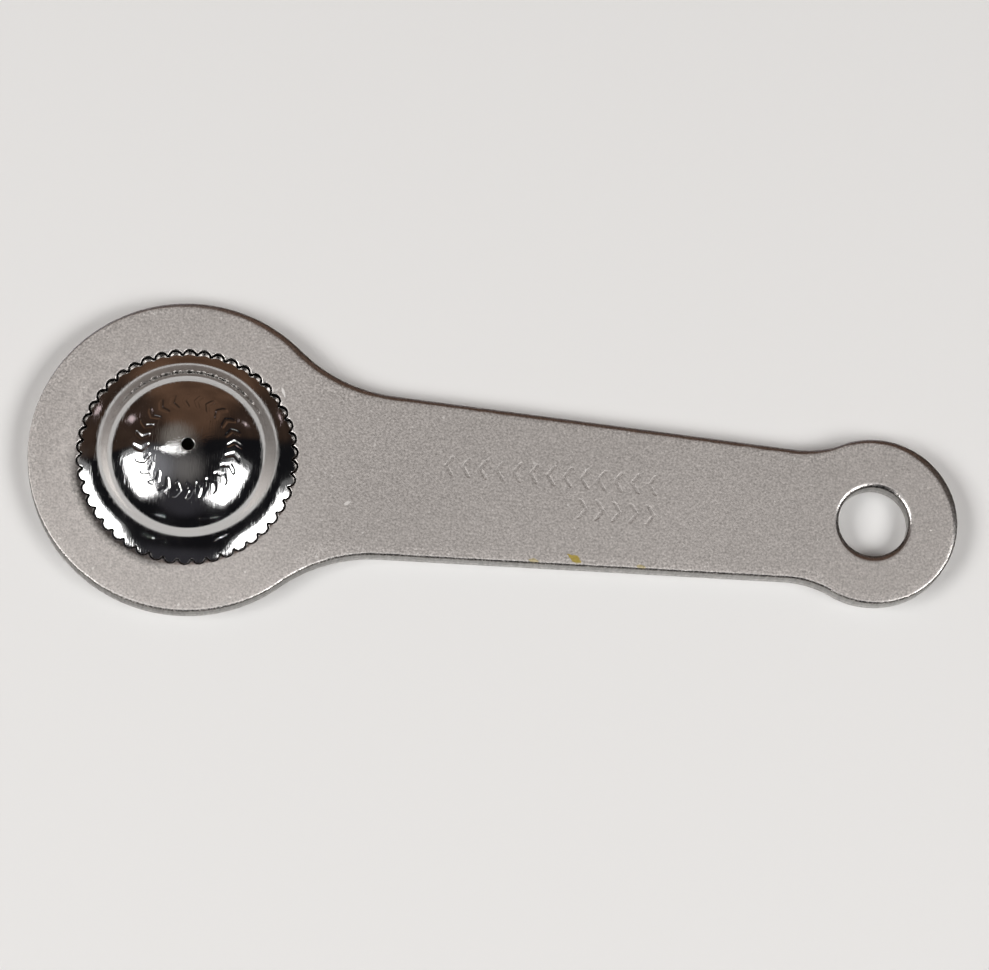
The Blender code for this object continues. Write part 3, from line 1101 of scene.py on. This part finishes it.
def bare_steel(plate):
    """The steel's colour: mottled grain, brighter over the head and where it is scuffed, with a painted
    highlight along the southern edges and small painted glints.
    """
    clouds = plate.uneven(CLOUD_SCALE, -0.03, 0.03, 3.0)
    blotches = plate.uneven(BLOTCH_SCALE, -0.05, 0.05)
    coarse = plate.times_plus(plate.near_edge, 0.5, 1.0)
    fine = plate.remap(plate.mottle, *NOISE_SWING, -0.27, 0.27)
    tone = plate.plus(plate.plus(clouds, blotches), plate.times_plus(fine, coarse, 0.5))
    # Painted highlight: near the outline the steel is lighter towards the south, where the lamps fall on
    # the rolled edges
    tone = plate.times_plus(plate.near_edge, plate.remap(plate.y, 8 * MM, -8 * MM, 0.0, 0.10), tone)

    # Brighter over the head, more so towards the south
    near_head = plate.fade(plate.x, HEAD.x + 22 * MM, HEAD.x + 6 * MM)
    head_brightening = plate.fade(plate.y, 4 * MM, -15 * MM, 0.11, 0.26)
    tone = plate.times_plus(near_head, head_brightening, tone)
    near_teeth = plate.fade(plate.from_head, ROOT_RADIUS + 4.2 * MM, ROOT_RADIUS + 1.4 * MM)
    west = plate.fade(plate.x, HEAD.x, HEAD.x - 9 * MM)
    scuffed = plate.uneven(SCUFF_SCALE, -0.08, 0.28, 4.0, 0.7, (0.35, 0.68))
    tone = plate.times_plus(plate.times(near_teeth, west), scuffed, tone)

    sunk = plate.remap(plate.z, PLATE_TOP - 0.012 * MM, PLATE_TOP - 0.032 * MM)
    tone = plate.times_plus(plate.times(sunk, plate.round_marks), -0.16, tone)
    base = plate.mix(tone, *STEEL_TONES)
    # Painted glints: small near-white spots, more of them near the edges and over the head
    fewest = plate.times_plus(plate.near_edge, -0.1, plate.times_plus(near_head, -0.03, 0.93))
    painted_glints = plate.remap(plate.cells(GLINT_SCALE, "Color"), fewest, 0.99, 0.0, 0.7)
    return plate.mix(painted_glints, base, STEEL_GLINT)


def patch(plate, at, length, width, turn, taper):
    """A ragged leaf-shaped spot on the plate's top, as a share from 0 to 1. Taper thins its first end."""
    inputs = {
        "Vector": plate.place,
        "Location": (*(Vector(at) * MM), PLATE_TOP),
        "Rotation": (0.0, 0.0, radians(turn)),
        "Scale": Vector((length / 2, width / 2, length)) * MM,
    }
    moved = plate.add("Mapping", vector_type="TEXTURE", named=inputs)
    x, y, z = plate.parts(moved.outputs[0])
    leaf = plate.minus(1.0, plate.times(x, x))
    narrowed = plate.most(plate.times_plus(x, taper, 1.0), 0.2)
    aside = plate.math("DIVIDE", plate.size(y), narrowed)
    ragged = plate.uneven(STAIN_SCALE, -0.45, 0.45, within=(0.0, 1.0))
    inside = plate.plus(plate.minus(leaf, aside), ragged)
    near_top = plate.math("LESS_THAN", plate.size(z), 0.6)
    return plate.times(plate.fade(inside, 0.0, 0.35), near_top)


def stained_and_shaded(plate, base):
    """Adds the stains and scrapes, and painted shade on the lower left of the toothed hole, darker towards
    the gap.
    """
    for at, length, width, turn, taper, strength, tint in STAINS:
        spot = patch(plate, at, length, width, turn, taper)
        base = plate.mix(plate.times(spot, strength), base, tint)
    # Painted shade on the lower left of the toothed hole, darkest next to the teeth
    blurred = plate.uneven(GAP_SHADE_SCALE, -0.28 * MM, 0.28 * MM, 3.0, 0.6)
    gap_shade = plate.remap(plate.plus(plate.from_head, blurred), ROOT_RADIUS + 1.0 * MM, ROOT_RADIUS)
    south_west = plate.minus(HEAD.x, plate.plus(plate.x, plate.y))
    lean = plate.math("DIVIDE", south_west, ROOT_RADIUS)
    gap_shade = plate.times(gap_shade, plate.fade(lean, 1.0, 1.32, 0.0, 0.85))
    return plate.mix(gap_shade, base, TEETH_GAP_SHADE)


def north_edge_shaded(plate, base):
    """Darkens the rolled edges on the north, in specks, as painted shade."""
    speckled = plate.remap(plate.mottle, 0.3, 0.65, 1.2, 0.75)
    rolled = plate.times(plate.minus(1.0, plate.flat), plate.times(plate.on_north_edge, speckled))
    return plate.mix(rolled, base, NORTH_EDGE_SHADE)


def walled(plate, base):
    """Colours the sheared walls: dark where burnished, partly as painted shade that reaches higher on the
    south side, paler below a ragged line where fractured.
    """
    torn = plate.noise(TORN_SCALE, 3.0, 0.6)
    line = plate.remap(torn, *NOISE_SWING, FRACTURE_TOP - 0.25 * MM, FRACTURE_TOP + 0.35 * MM)
    fracture = plate.fade(plate.minus(plate.z, line), 0.1 * MM, -0.1 * MM)
    wall = plate.mix(
        fracture,
        plate.mix(plate.streaks, *BURNISHED_AND_SHADED_TONES),
        plate.mix(plate.streaks, *FRACTURED_TONES),
    )
    wall = plate.mix(plate.remap(torn, 0.5, 0.72, 0.0, 0.55), wall, TORN)
    return plate.mix(plate.cut, base, wall)


def steel_roughness(plate):
    """Dull on the flat faces, glossier on the rolled edges except on the head's west and the north."""
    satin = plate.remap(plate.mottle, *NOISE_SWING, 0.28, 0.38)
    dull_edge = plate.fade(plate.x, HEAD.x + 8 * MM, HEAD.x - 2 * MM, 0.28, 0.42)
    dull_edge = plate.most(dull_edge, plate.times(plate.on_north_edge, 0.55))
    return plate.most(plate.times_plus(satin, plate.flat, 0.28), dull_edge)


def steel_relief(plate):
    """Pebbles on the faces and streaks down the walls."""
    grain = plate.times_plus(plate.mottle, 0.8, plate.cells(PEBBLE_SCALE))
    faces = plate.bump(plate.times(grain, plate.minus(1.0, plate.cut)), 0.013 * MM, 0.8)
    return plate.bump(plate.times(plate.streaks, plate.cut), 0.03 * MM, 0.8, faces)


def satin_steel():
    """Plated steel with a fine pebbled grain and a brighter head, its cut edges torn and dark, partly as
    painted shade.
    """
    plate = Plate()
    base = walled(plate, north_edge_shaded(plate, stained_and_shaded(plate, bare_steel(plate))))
    plate.shade(Base_Color=base, Metallic=1.0)
    plate.shade(Roughness=steel_roughness(plate), Normal=steel_relief(plate))
    return plate.owner


def cap_chrome():
    """Bright plating with fine wiping scratches, scuffs that run out from the vent, and smears."""
    nodes = Nodes(bpy.data.materials.new("cap_chrome"))
    specks = nodes.remap(nodes.cells(DIRT_SCALE), 0.05, 0.12, 1.0, 0.0)
    dirt = nodes.times(specks, nodes.remap(nodes.noise(DIRT_PATCH_SCALE), 0.5, 0.64))
    base = nodes.mix(nodes.times(dirt, 0.7), CHROME, CHROME_DIRT)

    x, y, _ = nodes.parts(nodes.vector("SUBTRACT", nodes.place, (*HEAD, 0.0)))
    away = nodes.math("SQRT", nodes.times_plus(x, x, nodes.times(y, y)))
    outwards = (nodes.math("DIVIDE", x, away), nodes.math("DIVIDE", y, away))
    spokes = nodes.noise(SPOKE_SCALE, 3.0, 0.7, nodes.joined(*outwards, nodes.times(away, 70.0)))
    near_vent = nodes.fade(away, 1.2 * MM, 4.4 * MM, 1.0, 0.0)
    haze = nodes.times(near_vent, nodes.remap(spokes, 0.4, 0.7, 0.0, 0.07))
    smears = nodes.uneven(CHROME_SMEAR_SCALE, 0.04, 0.14, 4.0, 0.6, (0.35, 0.75))

    normal = nodes.bump(nodes.noise(WAVE_SCALE, 1.0), 0.008 * MM)
    normal = nodes.bump(nodes.times(spokes, near_vent), 0.008 * MM, 1.0, normal)
    for turn in WIPED_TURNS:
        lines = nodes.noise(1.0, 1.0, 0.5, nodes.stretched(turn, WIPED_SCALES))
        normal = nodes.bump(nodes.remap(lines, 0.6, 0.78), 0.0024 * MM, 0.8, normal)
    nodes.shade(Base_Color=base, Metallic=1.0, Roughness=nodes.plus(smears, haze), Normal=normal)
    return nodes.owner


def seen_directly(nodes):
    """1 for rays that show a surface to the camera or in metal, 0 for its light on other things."""
    path = nodes.add("LightPath").outputs
    return nodes.most(path["Is Camera Ray"], path["Is Glossy Ray"], path["Is Transmission Ray"])


def pale_floor():
    """A lit floor round the object. Further off, out of the lamps' reach, it is simply seen as pale."""
    nodes = Nodes(bpy.data.materials.new("pale_floor"))
    nodes.shade(Base_Color=PALE, Roughness=0.9, Specular_IOR_Level=0.1)
    far = nodes.fade(nodes.distance(nodes.place, (0.0, 0.0, 0.0)), *FLOOR_FADES_FROM)
    lit = nodes.shader.outputs["BSDF"]
    plain = nodes.add("Emission", PALE).outputs["Emission"]
    floor = nodes.add("MixShader", nodes.times(far, seen_directly(nodes)), lit, plain)
    nodes.put(floor.outputs[0], nodes.tree.nodes["Material Output"].inputs["Surface"])
    return nodes.owner


# Stage


def make_floor():
    shape = bmesh.new()
    bmesh.ops.create_grid(shape, x_segments=1, y_segments=1, size=FLOOR_HALF_SIZE)
    floor = mesh_object("floor", shape, pale_floor())
    floor.location.z = cad_low.z - FLOOR_DROP


def make_lamps():
    target = Vector((*HEAD, PLATE_TOP))
    for name, direction, (width, height), roll, brightness, tint in LAMPS:
        light = bpy.data.lights.new(name, "AREA")
        light.shape = "RECTANGLE"
        light.size = width
        light.size_y = height
        light.energy = brightness * width * height * pi
        light.color = tint
        lamp = new_object(name, light)
        lamp.location = target + LAMP_DISTANCE * Vector(direction).normalized()
        facing = Vector(direction).to_track_quat("Z", "Y") @ Quaternion((0, 0, 1), radians(roll))
        lamp.rotation_euler = facing.to_euler()


def make_room():
    """A dim room above the floor, pale near the horizon. To the camera it is pale all over."""
    world = bpy.data.worlds.new("studio")
    bpy.context.scene.world = world
    nodes = Nodes(world, "Generated")
    x, y, z = nodes.parts(nodes.place)
    aside = nodes.math("DIVIDE", nodes.size(x), nodes.most(y, 0.2))
    brown = nodes.mix(nodes.fade(aside, *BROWN_DIMS_ASIDE), ROOM_BROWN, ROOM_DIM_BROWN)
    blotches = nodes.uneven(BLOTCHES_SCALE, *BROWN_BLOTCHES, 3.0, within=(0.35, 0.65))
    brown = nodes.vector("MULTIPLY", brown, nodes.joined(blotches, blotches, blotches))
    across = nodes.times_plus(x, BROWN_EDGE_LEAN, y)
    room = nodes.mix(nodes.fade(across, *BROWN_FROM_NORTH), ROOM_DARK, brown)
    for direction, (inner, outer), tint in GLOWS:
        share = nodes.fade(nodes.distance(nodes.place, direction), outer, inner)
        room = nodes.mix(share, room, tint)
    low, high = HORIZON
    seen_pale = nodes.add("LightPath").outputs["Is Camera Ray"]
    room = nodes.mix(nodes.most(nodes.fade(z, high, low), seen_pale), room, PALE)
    nodes.put(room, nodes.tree.nodes["Background"].inputs["Color"])


def make_camera():
    lens = bpy.data.cameras.new("camera")
    lens.sensor_width = SENSOR_WIDTH_MM
    lens.lens = FOCAL_LENGTH_PIXELS / FRAME_WIDTH_PIXELS * SENSOR_WIDTH_MM
    camera = new_object("camera", lens)
    camera.location = CAMERA_PLACE
    camera.rotation_euler = CAMERA_TURN
    bpy.context.scene.camera = camera


make_camera()
make_lamps()
make_room()
make_floor()
make_wrench(satin_steel())
make_dust_cap(cap_chrome())
bpy.context.scene.view_settings.view_transform = "Standard"

bpy.context.view_layer.update()
